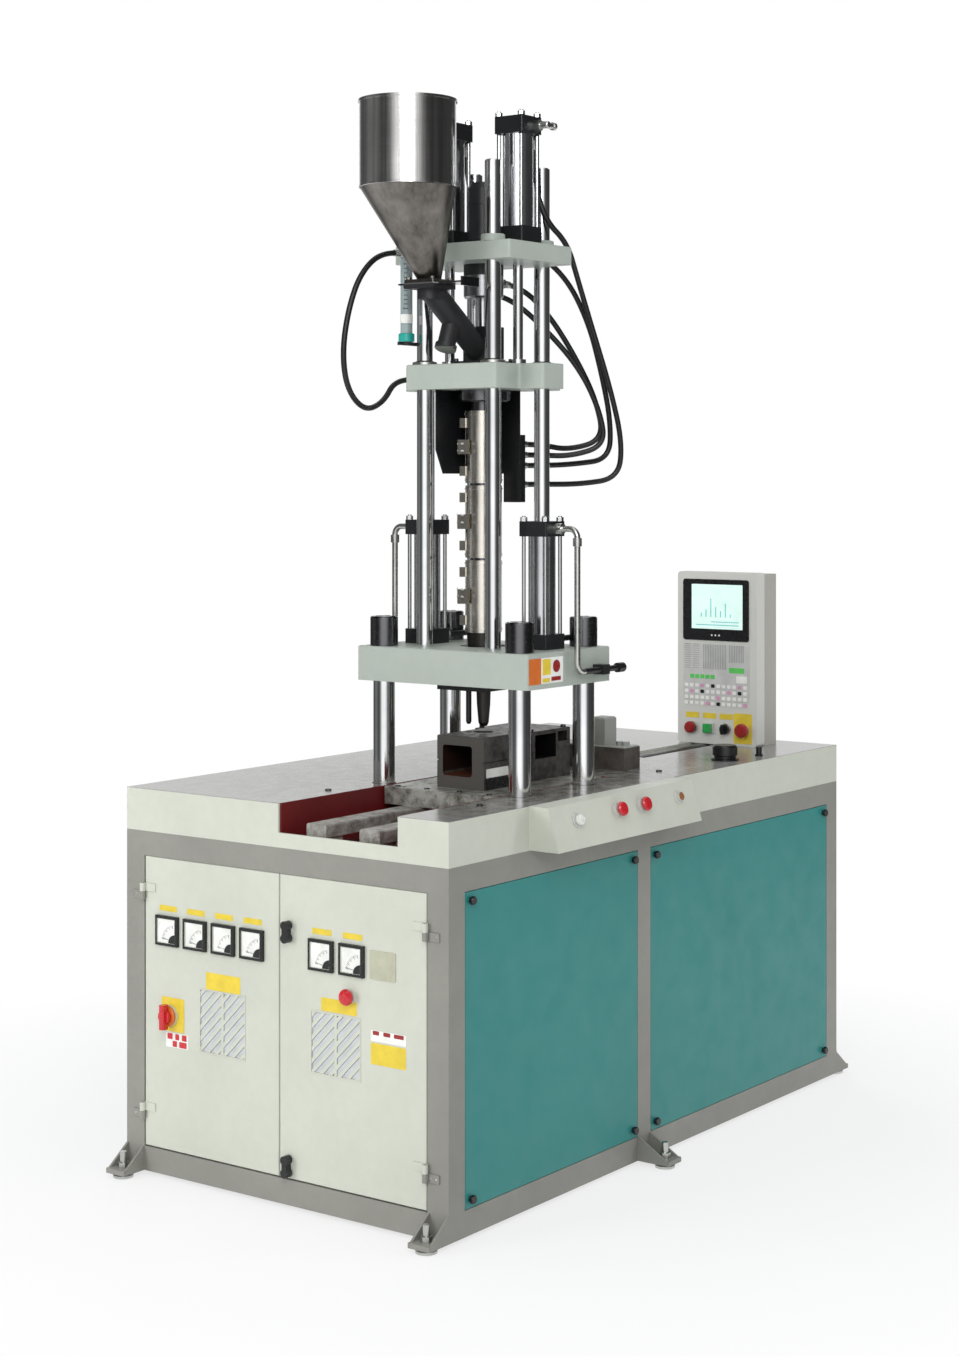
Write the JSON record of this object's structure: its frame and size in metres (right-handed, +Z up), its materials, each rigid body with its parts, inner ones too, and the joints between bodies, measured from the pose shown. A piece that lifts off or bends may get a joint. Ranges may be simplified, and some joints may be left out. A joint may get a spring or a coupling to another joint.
{
  "type": "vertical injection moulding machine",
  "caption": "Upright screw injection moulding machine: closed base with doors, sliding mould table, hydraulic platen and screw unit on columns, hopper and control box.",
  "frame": {"origin": "centre of the footprint on the floor", "axes": "+X from the cabinet doors to the control box, -Y the operator's side, +Z up"},
  "size_m": [1.987, 1.18, 2.623],
  "materials": {
    "frame_grey": "semi-gloss",
    "panel_teal": "semi-gloss",
    "deck_cream": "semi-gloss",
    "tray_red": "semi-gloss",
    "plate_grey": "satin",
    "ground_steel": "polished",
    "bright_steel": "satin",
    "black_steel": "satin",
    "dark_steel": "satin",
    "hopper_steel": "satin",
    "band_steel": "satin",
    "knob_black": "glossy",
    "button_red": "glossy",
    "button_green": "glossy",
    "box_grey": "satin",
    "pack_grey": "satin",
    "gear_beige": "matte",
    "cap_teal": "glossy",
    "hose_black": "matte",
    "nozzle_steel": "satin"
  },
  "bodies": {
    "root": {"base_frame": "frame_grey", "levelling_feet": "dark_steel", "deck": "deck_cream", "channel_tray": "tray_red", "table_rails": "bright_steel", "bolster_plate": "plate_grey", "clamp_cylinder": "black_steel", "cover_panels": "panel_teal", "panel_knobs": "knob_black", "operator_console": "deck_cream", "control_box": "box_grey", "oil_filler_cap": "knob_black", "table_cylinder": "black_steel", "table_bridge": "plate_grey", "power_pack": "pack_grey", "electrics_panel": "gear_beige"},
    "left_door": {"left_door": "deck_cream"},
    "right_door": {"right_door": "deck_cream"},
    "main_switch_handle": {"main_switch_handle": "knob_black"},
    "door_lock_upper": {"door_lock_upper": "knob_black"},
    "door_lock_lower": {"door_lock_lower": "knob_black"},
    "door_stop_button": {"door_stop_button": "button_red"},
    "console_button_left": {"console_button_left": "button_red"},
    "console_button_right": {"console_button_right": "button_red"},
    "box_stop_button": {"box_stop_button": "button_red"},
    "box_start_button": {"box_start_button": "button_green"},
    "box_selector": {"box_selector": "knob_black"},
    "box_emergency_stop": {"box_emergency_stop": "button_red"},
    "table": {"slide_table": "plate_grey", "table_push_rod": "ground_steel", "lower_mould": "plate_grey"},
    "platen": {"tie_bars": "ground_steel", "ring_nuts": "bright_steel", "clamp_crosshead": "plate_grey", "upper_platen": "plate_grey", "mould_plate": "bright_steel", "guide_columns": "ground_steel", "carriage_cylinder_tubes": "ground_steel", "carriage_cylinder_heads": "black_steel", "platen_pipes": "bright_steel"},
    "carriage": {"carriage_plate": "plate_grey", "screw_barrel": "dark_steel", "nozzle": "nozzle_steel", "heater_bands": "band_steel", "feed_throat": "black_steel", "hopper": "hopper_steel", "barrel_guard": "black_steel", "cylinder_rods": "ground_steel", "flow_meter": "cap_teal", "air_hose": "hose_black"},
    "gate": {"hopper_gate": "bright_steel"},
    "injection": {"injection_plate": "plate_grey", "injection_cylinder_tubes": "ground_steel", "injection_cylinder_heads": "black_steel", "screw_drive": "black_steel", "hose_1": "hose_black", "hose_2": "hose_black", "hose_3": "hose_black", "hose_4": "hose_black"},
    "screw": {"screw": "ground_steel"}
  },
  "joints": [
    {"name": "left_door_hinge", "type": "hinge", "parent": "root", "child": "left_door", "pos_m": [-0.929, 0.439, 0.43], "axis": [0, 0, -1], "range_deg": [0, 110]},
    {"name": "right_door_hinge", "type": "hinge", "parent": "root", "child": "right_door", "pos_m": [-0.929, -0.439, 0.43], "axis": [0, 0, 1], "range_deg": [0, 110]},
    {"name": "main_switch_turn", "type": "hinge", "parent": "left_door", "child": "main_switch_handle", "pos_m": [-0.93, 0.352, 0.404], "axis": [1, 0, 0], "range_deg": [0, 90]},
    {"name": "door_lock_upper_turn", "type": "hinge", "parent": "right_door", "child": "door_lock_upper", "pos_m": [-0.93, -0.032, 0.654], "axis": [-1, 0, 0], "range_deg": [0, 90]},
    {"name": "door_lock_lower_turn", "type": "hinge", "parent": "right_door", "child": "door_lock_lower", "pos_m": [-0.93, -0.032, 0.105], "axis": [-1, 0, 0], "range_deg": [0, 90]},
    {"name": "door_stop_press", "type": "slide", "parent": "right_door", "child": "door_stop_button", "axis": [1, 0, 0], "range_m": [0, 0.005], "stiffness_N_per_m": 300, "springref_m": -0.003},
    {"name": "console_left_press", "type": "slide", "parent": "root", "child": "console_button_left", "axis": [0, 0.9575, -0.2884], "range_m": [0, 0.005], "stiffness_N_per_m": 300, "springref_m": -0.003},
    {"name": "console_right_press", "type": "slide", "parent": "root", "child": "console_button_right", "axis": [0, 0.9575, -0.2884], "range_m": [0, 0.005], "stiffness_N_per_m": 300, "springref_m": -0.003},
    {"name": "box_stop_press", "type": "slide", "parent": "root", "child": "box_stop_button", "axis": [1, 0, 0], "range_m": [0, 0.005], "stiffness_N_per_m": 300, "springref_m": -0.003},
    {"name": "box_start_press", "type": "slide", "parent": "root", "child": "box_start_button", "axis": [1, 0, 0], "range_m": [0, 0.005], "stiffness_N_per_m": 300, "springref_m": -0.003},
    {"name": "box_emergency_stop_press", "type": "slide", "parent": "root", "child": "box_emergency_stop", "axis": [1, 0, 0], "range_m": [0, 0.005], "stiffness_N_per_m": 300, "springref_m": -0.003},
    {"name": "box_selector_turn", "type": "hinge", "parent": "root", "child": "box_selector", "pos_m": [0.72, -0.251, 0.997], "axis": [1, 0, 0], "range_deg": [-45, 45]},
    {"name": "table_slide", "type": "slide", "parent": "root", "child": "table", "axis": [1, 0, 0], "range_m": [-0.36, 0]},
    {"name": "clamp", "type": "slide", "parent": "root", "child": "platen", "axis": [0, 0, 1], "range_m": [-0.109, 0]},
    {"name": "carriage_lift", "type": "slide", "parent": "platen", "child": "carriage", "axis": [0, 0, 1], "range_m": [0, 0.11]},
    {"name": "gate_slide", "type": "slide", "parent": "carriage", "child": "gate", "axis": [0, -1, 0], "range_m": [0, 0.06]},
    {"name": "inject", "type": "slide", "parent": "carriage", "child": "injection", "axis": [0, 0, 1], "range_m": [-0.05, 0.08]},
    {"name": "screw_spin", "type": "hinge", "parent": "injection", "child": "screw", "pos_m": [-0.348, -0.176, 2.1], "axis": [0, 0, 1], "continuous": true}
  ]
}
